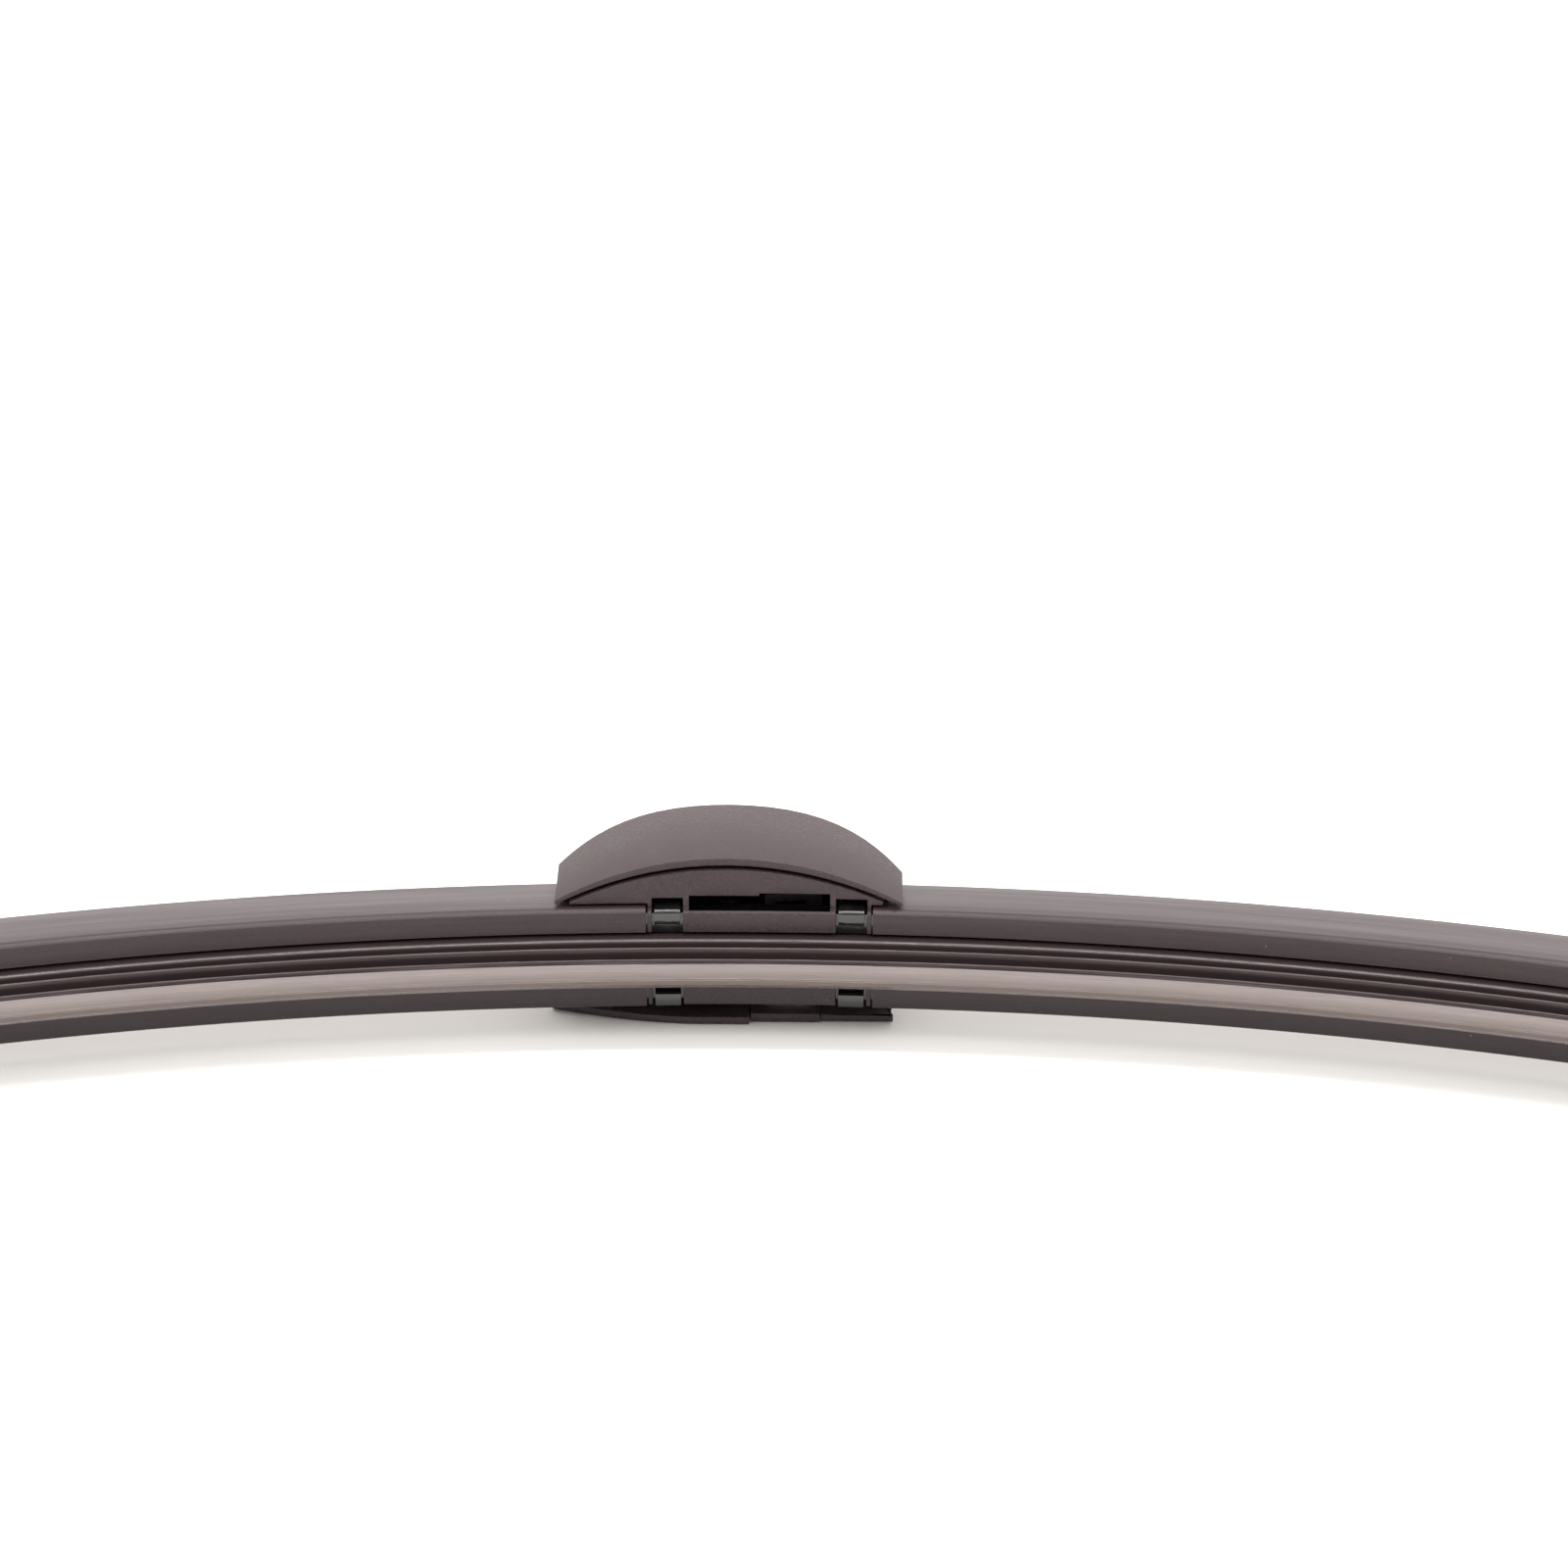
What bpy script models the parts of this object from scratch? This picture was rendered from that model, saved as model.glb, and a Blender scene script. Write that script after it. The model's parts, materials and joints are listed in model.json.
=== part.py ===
"""Flat windscreen wiper blade with a side-pin arm connector, lying on its side.

The blade is drawn straight, in millimetres, then swung round the arc that its spring rails hold.
  x        along the blade, 0 midway between the four steel claws
  height   away from the glass, 0 at the level of the claws, negative towards the rubber's lip
  lateral  across the blade, positive on side A, under the spoiler's tall face
In the finished model x is X, height is Y and lateral is Z. Side B faces down, so the blade rests
on the connector's flat wall, and the origin is where the rocking axis meets that resting plane.
"""
import math

import bmesh
import bpy
from mathutils import Matrix, Vector

MM = 0.001
GAP = 0.3                    # between two pieces that touch
WELD = 0.002                 # points closer than this are one point

# blade
BLADE_LENGTH = 500.0         # over the end caps
ARC_RADIUS = 570.0           # free curvature of the spring rails
SLICE = 12.5                 # spacing of the cross cuts that let a long piece follow the arc
SHORT_SLICE = 6.25

# spring rails, and the channel that spoilers and base leave round them
RAIL_INNER, RAIL_OUTER = 2.0, 8.25
RAIL_LOW, RAIL_HIGH = 0.9, 1.8
SLOT_OUTER = 8.55
SLOT_LOW, SLOT_HIGH = 0.6, 2.1
HEAD_SLOT_HALF, HEAD_SLOT_HIGH = 3.5, 2.8
GRIP_INNER = 5.2             # the lips under the rails end here

# spoiler
SPOILER_HALF = 9.5
SPOILER_EDGE = 3.0           # height of the low edge, on side B
CREST_LATERAL, CREST_HEIGHT = 7.75, 11.5
RAMP_POWER = 1.8             # hollow of the ramp between low edge and crest
CLEARED_HEIGHT = 3.7         # what is left of the spoilers under the connector

# connector, which is centred on its rocking axis
LONG_END, SHORT_END = -34.0, 23.8
MIDDLE = -5.5
HALF_SPAN = MIDDLE - LONG_END
END_GAP = 0.5                # between the connector's end walls and the spoilers
PIVOT_HEIGHT = 7.8
ROCK_DEGREES = 5.0
WALL_B = -13.0               # outer face of the flat wall
WALL_B_LEFT, WALL_B_RIGHT = -35.2, 22.4
WALL = 1.35
CRESCENT_END, CRESCENT_MIDDLE = 10.7, 18.3
CRESCENT_INNER_END, CRESCENT_INNER_MIDDLE = 9.85, 17.0
WING_END, WING_MIDDLE = 9.0, 16.2
LONG_STEP, SHORT_STEP = 0.4, 1.6   # how far the back stops short of the side walls' ends
BACK_LEFT, BACK_RIGHT = LONG_END + LONG_STEP, SHORT_END - SHORT_STEP
BACK_START = WALL_B + 1.0    # the back springs from inside wall B
BACK_MIDDLE = 19.9           # its height over the crescent, midway and at either end
BACK_LONG_END, BACK_SHORT_END = 12.4, 10.6
NOTCH_LEFT, NOTCH_RIGHT, NOTCH_FLOOR = -17.8, -1.8, 11.7
POCKET_DEPTH = 5.8           # how far the arm's finger reaches in over wall B

INSERT_LEFT, INSERT_RIGHT = -1.8, 10.3

# arm pin
ARM_PIN_X, ARM_PIN_HEIGHT = 4.9, 8.3
ARM_PIN_RADIUS = 3.25

# base and bracket
BASE_HALF_LENGTH = 18.6
BASE_HALF = 9.1
BASE_TOP = 3.4
CLAW_X, CLAW_WIDTH, CLAW_HALF, CLAW_TIP = 15.3, 4.3, 9.4, 6.8
STEEL = 0.7
PLATE_LOW = 3.7
CHEEK_INNER = 3.4
CHEEK_RADIUS = 2.9

# rocking pivot
PIVOT_PIN_RADIUS = 1.4
BUSH_INNER, BUSH_OUTER = 1.65, 2.1
CORE_BORE = 2.4

# pin catch
TAB_LEFT, TAB_RIGHT = 11.2, 13.4
TAB_HALF = 2.3
TAB_TOP = 15.6               # the catch's thumb tab stands above the cover's back
APRON_LOW, APRON_HIGH = 11.5, 12.1
CATCH_TRAVEL = 1.5
CATCH_BACK = 13.8            # the spring bears on the catch here
SPRING_SEAT = 18.5           # and on a rib of the cover here

PLASTIC = (0.030, 0.026, 0.028)
RUBBER = (0.022, 0.019, 0.020)
STEEL_BLACK = (0.008, 0.008, 0.009)
STEEL_BARE = (0.42, 0.42, 0.43)


def clear_scene():
    """Start from nothing."""
    for old in list(bpy.data.objects):
        bpy.data.objects.remove(old, do_unlink=True)


def material(name, colour, roughness, metallic):
    """A plain Principled material."""
    made = bpy.data.materials.new(name)
    made.use_nodes = True
    shader = made.node_tree.nodes["Principled BSDF"]
    shader.inputs["Base Color"].default_value = (*colour, 1.0)
    shader.inputs["Roughness"].default_value = roughness
    shader.inputs["Metallic"].default_value = metallic
    return made


# ---------------------------------------------------------------- solids

def arc(centre, radius, start, stop, steps):
    """Points on a circle, angles in degrees."""
    turns = [math.radians(start + (stop - start) * i / steps) for i in range(steps + 1)]
    return [(centre[0] + radius * math.cos(a), centre[1] + radius * math.sin(a)) for a in turns]


def box_outline(low, high):
    """The rectangle between two corners."""
    return [low, (high[0], low[1]), high, (low[0], high[1])]


def to_object(bm, name):
    """Turn a bmesh into an object with its faces pointing out."""
    bmesh.ops.recalc_face_normals(bm, faces=bm.faces)
    mesh = bpy.data.meshes.new(name)
    bm.to_mesh(mesh)
    bm.free()
    made = bpy.data.objects.new(name, mesh)
    bpy.context.scene.collection.objects.link(made)
    return made


def prism(name, outline, low, high, along):
    """An outline extruded along one axis.

    Along x the outline is (lateral, height), along lateral it is (x, height), and along
    height it is (x, lateral).
    """
    corner = {
        "x": lambda u, v, w: (w, v, u),
        "lateral": lambda u, v, w: (u, v, w),
        "height": lambda u, v, w: (u, w, v),
    }[along]
    bm = bmesh.new()
    first = [bm.verts.new(corner(u, v, low)) for u, v in outline]
    last = [bm.verts.new(corner(u, v, high)) for u, v in outline]
    bm.faces.new(first)
    bm.faces.new(last)
    for i in range(len(outline)):
        bm.faces.new((first[i - 1], first[i], last[i], last[i - 1]))
    return to_object(bm, name)


def block(name, x, height, lateral):
    """A box from three ranges."""
    return prism(name, box_outline((x[0], height[0]), (x[1], height[1])), *lateral, "lateral")


def rod(name, x, height, radius, lateral, sides=24):
    """A cylinder across the blade."""
    circle = arc((x, height), radius, 0.0, 360.0 - 360.0 / sides, sides - 1)
    return prism(name, circle, *lateral, "lateral")


def slab(name, stations, lateral_low, lateral_high, low, high, rows=8):
    """A solid between two height surfaces, over a strip of plan between two lateral edges."""
    bm = bmesh.new()
    layers = []
    for surface in (low, high):
        grid = []
        for x in stations:
            edge, width = lateral_low(x), lateral_high(x) - lateral_low(x)
            line = [edge + width * j / rows for j in range(rows + 1)]
            grid.append([bm.verts.new((x, surface(x, lateral), lateral)) for lateral in line])
        layers.append(grid)
    bottom, top = layers
    for grid in layers:
        for i in range(len(stations) - 1):
            for j in range(rows):
                bm.faces.new((grid[i][j], grid[i + 1][j], grid[i + 1][j + 1], grid[i][j + 1]))
    for i in range(len(stations) - 1):
        for j in (0, rows):
            bm.faces.new((bottom[i][j], bottom[i + 1][j], top[i + 1][j], top[i][j]))
    for j in range(rows):
        for i in (0, len(stations) - 1):
            bm.faces.new((bottom[i][j], bottom[i][j + 1], top[i][j + 1], top[i][j]))
    bmesh.ops.triangulate(bm, faces=bm.faces)
    return to_object(bm, name)


def weld(piece):
    """Close up the slivers that a Boolean leaves where two faces nearly meet."""
    bm = bmesh.new()
    bm.from_mesh(piece.data)
    bmesh.ops.remove_doubles(bm, verts=bm.verts, dist=WELD)
    bmesh.ops.dissolve_degenerate(bm, edges=bm.edges, dist=WELD)
    bm.to_mesh(piece.data)
    bm.free()


def combine(target, others, operation):
    """Boolean the other solids into the target, then remove them."""
    for other in others:
        step = target.modifiers.new("combine", "BOOLEAN")
        step.operation = operation
        step.solver = "EXACT"
        step.object = other
        bpy.context.view_layer.update()
        evaluated = target.evaluated_get(bpy.context.evaluated_depsgraph_get())
        result = bpy.data.meshes.new_from_object(evaluated)
        target.modifiers.remove(step)
        target.data = result
        weld(target)
        bpy.data.objects.remove(other, do_unlink=True)
    return target


def cut(target, *cutters):
    """Subtract solids from a solid."""
    return combine(target, cutters, "DIFFERENCE")


def join(target, *others):
    """Unite solids that overlap."""
    return combine(target, others, "UNION")


def bend(piece, spacing=SLICE):
    """Slice a straight solid across, then swing the slices round the blade's arc."""
    bm = bmesh.new()
    bm.from_mesh(piece.data)
    reach = [vertex.co.x for vertex in bm.verts]
    for i in range(math.floor(min(reach) / spacing) + 1, math.ceil(max(reach) / spacing)):
        geometry = bm.verts[:] + bm.edges[:] + bm.faces[:]
        bmesh.ops.bisect_plane(bm, geom=geometry, dist=0.001, plane_co=(i * spacing, 0, 0),
                               plane_no=(1, 0, 0))
    for vertex in bm.verts:
        turn = vertex.co.x / ARC_RADIUS
        radius = ARC_RADIUS + vertex.co.y
        vertex.co.x = radius * math.sin(turn)
        vertex.co.y = radius * math.cos(turn) - ARC_RADIUS
    bm.to_mesh(piece.data)
    bm.free()
    return piece


def before_bend(x, height):
    """The x to draw so that a point ends up at this x once bent."""
    return ARC_RADIUS * math.asin(x / (ARC_RADIUS + height))


def finish(piece, look, parent=None):
    """Move a piece from drawing millimetres to its place in metres, and give it its material."""
    move = Matrix.Translation(Vector((-MIDDLE, -PIVOT_HEIGHT, -WALL_B)) * MM)
    piece.data.transform(move @ Matrix.Scale(MM, 4))
    piece.data.materials.clear()
    piece.data.materials.append(look)
    piece.data.name = piece.name
    piece.data.shade_smooth()
    piece.data.set_sharp_from_angle(angle=math.radians(30))
    piece.parent = parent
    return piece


# ---------------------------------------------------------------- blade

def ramp_height(lateral, edge, crest, half):
    """Height of the spoiler's hollow ramp."""
    share = (lateral + half) / (CREST_LATERAL - 0.55 + half)
    return edge + (crest - edge) * max(share, 0.0) ** RAMP_POWER


def spoiler_skin(half, bottom, edge, crest):
    """The outer side of a spoiler section, from its lip on side A over the crest to side B."""
    low_ramp = -half + 0.3
    steps = 9
    top = CREST_LATERAL - 0.55
    ramp = [top + (low_ramp - top) * i / steps for i in range(1, steps + 1)]
    points = arc((half - 1.5, bottom + 1.25), 1.5, -52.0, 0.0, 3)
    points += arc((CREST_LATERAL, crest - 0.45), 0.45, 10.0, 150.0, 4)
    points += [(lateral, ramp_height(lateral, edge, crest - 0.3, half - 0.3)) for lateral in ramp]
    points += [(-half, edge - 0.3)]
    points += arc((-half + 0.8, bottom + 0.8), 0.8, 180.0, 270.0, 3)
    return points


def rail_channel():
    """The inner side of a section that grips both rails from outside, side B to side A."""
    right = [(GRIP_INNER, SLOT_LOW), (SLOT_OUTER, SLOT_LOW), (SLOT_OUTER, SLOT_HIGH),
             (HEAD_SLOT_HALF, SLOT_HIGH), (HEAD_SLOT_HALF, HEAD_SLOT_HIGH)]
    left = [(-lateral, height) for lateral, height in right]
    return left + right[::-1]


def make_spoiler(name, side, look):
    """One half of the spoiler, cleared away to its grip under the connector."""
    bottom = -0.3
    skin = spoiler_skin(SPOILER_HALF, bottom, SPOILER_EDGE, CREST_HEIGHT)
    section = skin + [(-GRIP_INNER, bottom)] + rail_channel() + [(GRIP_INNER, bottom)]
    start = BASE_HALF_LENGTH + GAP
    stop = BLADE_LENGTH / 2 - 12.0
    piece = prism(name, section, *sorted((side * start, side * stop)), "x")
    shoulder = (-BACK_LEFT if side < 0 else BACK_RIGHT) + END_GAP
    cleared = [(side * before_bend(shoulder, height), height) for height in (CLEARED_HEIGHT, 20.0)]
    cleared += [(side * (start - 2.0), 20.0), (side * (start - 2.0), CLEARED_HEIGHT)]
    cut(piece, prism("cleared", cleared, -12.0, 12.0, "lateral"))
    return finish(bend(piece), look)


def make_rubber(look):
    """The wiping element: a head that holds the rails, two flanges, the neck and the lip."""
    half = [(3.1, 2.5), (3.1, 2.1), (1.7, 2.1), (1.7, 0.6), (4.5, 0.6), (4.5, -1.1), (4.2, -1.7),
            (2.5, -1.75), (2.3, -2.3), (3.4, -2.5), (3.85, -2.85), (3.5, -3.2), (1.1, -3.3),
            (0.75, -3.6), (0.75, -4.1), (1.1, -4.4), (2.5, -4.55), (2.8, -4.85), (2.5, -5.15),
            (1.9, -5.25), (2.3, -5.65), (0.5, -7.5), (0.4, -8.0)]
    section = half + [(-lateral, height) for lateral, height in half[::-1]]
    reach = BLADE_LENGTH / 2 - 2.0 - GAP
    return finish(bend(prism("wiper_rubber", section, -reach, reach, "x")), look)


def make_rail(name, side, look):
    """One flat spring rail."""
    across = sorted((side * RAIL_INNER, side * RAIL_OUTER))
    reach = BLADE_LENGTH / 2 - 3.0
    section = box_outline((across[0], RAIL_LOW), (across[1], RAIL_HIGH))
    return finish(bend(prism(name, section, -reach, reach, "x")), look)


def staple_outline(low, half, thickness):
    """A steel strip bent over the rubber's head and round both rails, tips under the rails."""
    inner = half - thickness
    top = low + thickness
    outside = [(CLAW_TIP, -0.35)] + arc((half - 0.7, 0.35), 0.7, -90.0, 0.0, 3)
    outside += arc((half - 0.9, top - 0.9), 0.9, 0.0, 90.0, 3)
    inside = [(inner, low), (inner, SLOT_LOW - 0.1), (CLAW_TIP, SLOT_LOW - 0.1)]
    mirror_out = [(-lateral, height) for lateral, height in outside[::-1]]
    mirror_in = [(-lateral, height) for lateral, height in inside[::-1]]
    return outside + mirror_out + mirror_in + inside


def make_end_clip(name, side, look):
    """The steel clip that keeps rails and rubber together, hidden in the end cap."""
    near = BLADE_LENGTH / 2 - 12.0 + GAP
    span = sorted((side * near, side * (near + 4.5)))
    piece = prism(name, staple_outline(HEAD_SLOT_HIGH, CLAW_HALF - 0.1, STEEL - 0.1), *span, "x")
    return finish(bend(piece), look)


def make_end_cap(name, side, look):
    """A moulded cap over the end of spoiler and rails; the rubber runs on beneath it."""
    tip = BLADE_LENGTH / 2
    root = tip - 22.0
    shoulder = tip - 5.0
    outer = spoiler_skin(10.4, -1.2, 5.2, 12.6)
    hollow = spoiler_skin(9.8, -0.6, 4.3, 11.95)
    cap = prism(name, outer, *sorted((side * root, side * shoulder)), "x")
    nose = prism("nose", outer, *sorted((side * (shoulder - 0.5), side * tip)), "x")
    for vertex in nose.data.vertices:
        if abs(vertex.co.x) > shoulder:
            vertex.co.y = 1.0 + (vertex.co.y - 1.0) * 0.8
            vertex.co.z *= 0.9
    join(cap, nose)
    cavity = prism("hollow", hollow, *sorted((side * (root - 1.0), side * (shoulder - 1.5))), "x")
    nose_room = block("nose_room", sorted((side * (shoulder - 2.0), side * (tip - 2.0))),
                      (0.0, 3.9), (-8.8, 8.8))
    rubber_way = block("rubber_way", sorted((side * (root - 2.0), side * (tip + 1.0))),
                       (-3.0, 0.9), (-5.6, 5.6))
    return finish(bend(cut(cap, cavity, nose_room, rubber_way), SHORT_SLICE), look)


# ---------------------------------------------------------------- bracket and base

def make_bracket(look):
    """The steel bracket: a plate, four claws round the rails and two cheeks for the pivot."""
    staple = staple_outline(PLATE_LOW, CLAW_HALF, STEEL)
    half_width = CLAW_WIDTH / 2
    bracket = prism("claw_bracket", staple, -CLAW_X - half_width, -CLAW_X + half_width, "x")
    second = prism("second", staple, CLAW_X - half_width, CLAW_X + half_width, "x")
    plate = block("plate", (-CLAW_X, CLAW_X), (PLATE_LOW, PLATE_LOW + STEEL), (-8.0, 8.0))
    join(bracket, plate, second)
    for side in (-1, 1):
        foot = PLATE_LOW + STEEL / 2
        outline = [(MIDDLE - 4.0, foot), (MIDDLE + 4.0, foot)]
        outline += arc((MIDDLE, PIVOT_HEIGHT), CHEEK_RADIUS, 0.0, 180.0, 12)
        span = sorted((side * CHEEK_INNER, side * (CHEEK_INNER + 1.0)))
        cheek = prism("cheek", outline, *span, "lateral")
        bore = rod("bore", MIDDLE, PIVOT_HEIGHT, PIVOT_PIN_RADIUS + GAP, (span[0] - 1, span[1] + 1))
        join(bracket, cut(cheek, bore))
    arm_pin_way = block("arm_pin_way", (1.2, 8.6), (PLATE_LOW - 1, PLATE_LOW + 2), (-9.0, 6.5))
    return finish(bend(cut(bracket, arm_pin_way), SHORT_SLICE), look)


def end_share(x):
    """0 at the rocking axis, 1 at either end of the connector."""
    half = HALF_SPAN if x < MIDDLE else SHORT_END - MIDDLE
    return min(abs(x - MIDDLE) / half, 1.0)


def crescent(x, end, middle):
    """Lateral place of an arc in plan that bulges towards side A."""
    rise = middle - end
    radius = (HALF_SPAN ** 2 + rise ** 2) / (2 * rise)
    reach = HALF_SPAN * end_share(x)
    return end + math.sqrt(radius ** 2 - reach ** 2) - (radius - rise)


def wing_outline():
    """Plan of the base's wing, a little inside the crescent wall."""
    reach = 26.0
    inner = SPOILER_HALF + 0.4
    steps = 22
    stations = [MIDDLE + reach * (1 - 2 * i / steps) for i in range(steps + 1)]
    points = [(x, max(crescent(x, WING_END, WING_MIDDLE), inner + 0.3)) for x in stations]
    points += [(MIDDLE - reach, inner), (-BASE_HALF_LENGTH, inner), (-BASE_HALF_LENGTH, 8.8),
               (BASE_HALF_LENGTH, 8.8), (BASE_HALF_LENGTH, inner), (MIDDLE + reach, inner)]
    return points


def make_base(look):
    """The moulded base round bracket and rails, with claw windows and a wing under side A."""
    bottom = -0.3
    half = BASE_HALF
    skin = arc((half - 0.6, bottom + 0.6), 0.6, -90.0, 0.0, 3) + [(half, BASE_TOP)]
    skin += [(-lateral, height) for lateral, height in skin[::-1]]
    section = skin + [(-GRIP_INNER, bottom)] + rail_channel() + [(GRIP_INNER, bottom)]
    base = prism("connector_base", section, -BASE_HALF_LENGTH, BASE_HALF_LENGTH, "x")
    join(base, prism("wing", wing_outline(), 1.2, 2.6, "height"))
    slots = [block("slot_left", (-11.7, 0.5), (0.3, 4.0), (8.3, 11.3)),
             block("slot_right", (0.0, 11.7), (0.3, 4.0), (8.3, 11.8)),
             block("slot_back", (-11.7, 11.7), (1.95, 4.0), (6.6, 8.4))]
    room = CLAW_WIDTH / 2 + 0.45
    for side in (-1, 1):
        for x in (-CLAW_X, CLAW_X):
            span = (x - room, x + room)
            tip_way = sorted((side * 4.6, side * 10.9))
            back_way = sorted((side * (RAIL_OUTER + 0.05), side * 10.9))
            slots.append(block("tip_way", span, (-1.0, 0.75), tip_way))
            slots.append(block("back_way", span, (-1.1, 4.0), back_way))
    return finish(bend(cut(base, *slots), SHORT_SLICE), look)


def make_pivot_pin(look):
    """The rivet that the connector rocks on, with its formed head outside cheek A."""
    outside = CHEEK_INNER + 1.0 + GAP
    pin = rod("pivot_pin", MIDDLE, PIVOT_HEIGHT, PIVOT_PIN_RADIUS, (-outside - 0.9, outside + 0.4))
    head = rod("head", MIDDLE, PIVOT_HEIGHT, 2.3, (outside, outside + 0.7))
    return finish(join(pin, head), look)


def make_pivot_washer(look):
    """The retaining ring on the rivet's far end, outside cheek B."""
    outside = CHEEK_INNER + 1.0 + GAP
    ring = rod("pivot_washer", MIDDLE, PIVOT_HEIGHT, 2.3, (-outside - 0.7, -outside))
    bore = rod("bore", MIDDLE, PIVOT_HEIGHT, PIVOT_PIN_RADIUS + 0.25, (-8.0, -3.0))
    return finish(cut(ring, bore), look)


# ---------------------------------------------------------------- connector, which rocks

def wall_b_top(x):
    """Back edge of the flat wall: rounded at the long end, falling steeply at the short one."""
    if x < -19.0:
        share = min((-19.0 - x) / (-19.0 - WALL_B_LEFT), 1.0)
        return 4.9 + 10.6 * (1 - share ** 2) ** 0.6
    if x < 5.0:
        return 15.5 - 0.9 * (x + 19.0) / 24.0
    share = min((x - 5.0) / (WALL_B_RIGHT - 5.0), 1.0)
    return 1.5 + 13.1 * (1 - share ** 2) ** 0.84


def wall_b_foot(x):
    """Front edge of the flat wall, cut away at the long end so that it can rock."""
    if x > INSERT_RIGHT:
        return 1.2
    return 4.6 * max((-10.0 - x) / (-10.0 - WALL_B_LEFT), 0.0) ** 1.8


def bulge(x):
    """1 at the connector's middle, 0 at its ends."""
    return 1 - end_share(x) ** 2


def outer_crescent(x):
    """Outer face of the crescent wall, in plan."""
    return crescent(x, CRESCENT_END, CRESCENT_MIDDLE)


def inner_crescent(x):
    """Inner face of the crescent wall, in plan."""
    return crescent(x, CRESCENT_INNER_END, CRESCENT_INNER_MIDDLE)


def back_height(x, lateral):
    """The cover's back: a ramp like the spoiler's at the middle, full height early at the ends."""
    x = min(max(x, LONG_END), SHORT_END)
    share = max((lateral - BACK_START) / (outer_crescent(x) - BACK_START), 0.0)
    fullness = min(1.15 * (1 - bulge(x)), 1.0)
    rise = fullness * (1 - (1 - share) ** 6) + (1 - fullness) * share ** 1.3
    low = wall_b_top(x) - 0.5
    end = BACK_LONG_END if x < MIDDLE else BACK_SHORT_END
    high = BACK_MIDDLE - (BACK_MIDDLE - end) * end_share(x) ** 4
    return low + (high - low) * rise


def cover_foot(x, lateral):
    """The crescent wall's front edge."""
    return 0.2 + 1.2 * bulge(x)


def stations(start, stop, steps):
    """Places along x, closer together near the ends."""
    middle, half = (start + stop) / 2, (stop - start) / 2
    return [middle - half * math.cos(math.pi * i / steps) for i in range(steps + 1)]


def inside(name, x, low, high, steps, spread=0.0):
    """A solid between wall B's inner face and the crescent's, or a little wider."""
    return slab(name, stations(*x, steps), lambda x: WALL_B + WALL - spread,
                lambda x: inner_crescent(x) + spread, low, high)


def make_shell():
    """The crescent wall and the ramped back, over an open inside."""
    shell = slab("adapter_cover", stations(LONG_END, SHORT_END, 28), lambda x: BACK_START,
                 outer_crescent, cover_foot, back_height)
    cavity = slab("cavity", stations(LONG_END - 2.0, SHORT_END + 2.0, 28), lambda x: WALL_B - 1.0,
                  inner_crescent, lambda x, lateral: -9.0,
                  lambda x, lateral: back_height(x, lateral) - WALL)
    pocket_wall = block("pocket_wall", (NOTCH_LEFT - WALL, NOTCH_RIGHT + WALL),
                        (NOTCH_FLOOR - WALL, 20.0), (-14.5, WALL_B + POCKET_DEPTH + WALL))
    spring_seat = block("spring_seat", (SPRING_SEAT, SPRING_SEAT + 1.0), (7.9, 20.0), (-2.5, 2.5))
    return cut(shell, cut(cavity, pocket_wall, spring_seat))


def make_wall_b():
    """The flat wall, with the notch for the arm's finger and the window for the insert."""
    ends = stations(WALL_B_LEFT, WALL_B_RIGHT, 32)
    foot = wall_b_foot(WALL_B_RIGHT)
    outline = [(x, wall_b_top(x)) for x in ends] + [(WALL_B_RIGHT, foot)]
    outline += [(INSERT_RIGHT - 1.0, foot), (INSERT_RIGHT - 1.0, 0.0)]
    outline += [(x, wall_b_foot(x)) for x in ends[::-1] if x < -10.0]
    return prism("wall_b", outline, WALL_B, WALL_B + WALL, "lateral")


def end_wall(x, lowest):
    """A wall across one end of the cover, set into its back and sides."""
    def high(x, lateral):
        return back_height(x, lateral) - 0.3

    def low(x, lateral):
        return min(lowest, high(x, lateral) - 0.9)

    return inside("end_wall", x, low, high, 3, 0.4)


def make_cover(look, parent):
    """The moulded cover: flat wall B, crescent wall, a ramped back and two end walls."""
    cover = make_shell()
    for way in ((LONG_END - 3.0, BACK_LEFT), (BACK_RIGHT, SHORT_END + 3.0)):
        cut(cover, slab("end_way", stations(*way, 4), lambda x: WALL_B,
                        lambda x: inner_crescent(x) + 0.12, lambda x, lateral: -9.5,
                        lambda x, lateral: 30.0))
    corner = (NOTCH_RIGHT - 1.6, NOTCH_FLOOR + 1.6)
    notch = [(NOTCH_LEFT, NOTCH_FLOOR), (corner[0], NOTCH_FLOOR)] + arc(corner, 1.6, -60.0, 0.0, 3)
    notch += [(NOTCH_RIGHT, 22.0), (NOTCH_LEFT, 22.0)]
    slot_room = TAB_HALF + GAP
    join(cover, make_wall_b())
    cut(
        cover,
        prism("pocket", notch, -14.0, WALL_B + POCKET_DEPTH, "lateral"),
        block("sight_slot", (0.9, 8.9), (10.0, 22.0), (WALL_B + WALL + 0.15, -8.4)),
        block("catch_slot", (TAB_LEFT - GAP, TAB_RIGHT + CATCH_TRAVEL + GAP), (10.5, 22.0),
              (-slot_room, slot_room)),
        block("insert_window", (INSERT_LEFT, INSERT_RIGHT), (-5.0, 12.8), (-14.0, -11.25)),
    )
    walls = (end_wall((BACK_LEFT + 0.1, BACK_LEFT + WALL), 8.1),
             end_wall((BACK_RIGHT - WALL, BACK_RIGHT - 0.1), 7.7))
    return finish(join(cover, *walls), look, parent)


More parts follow.
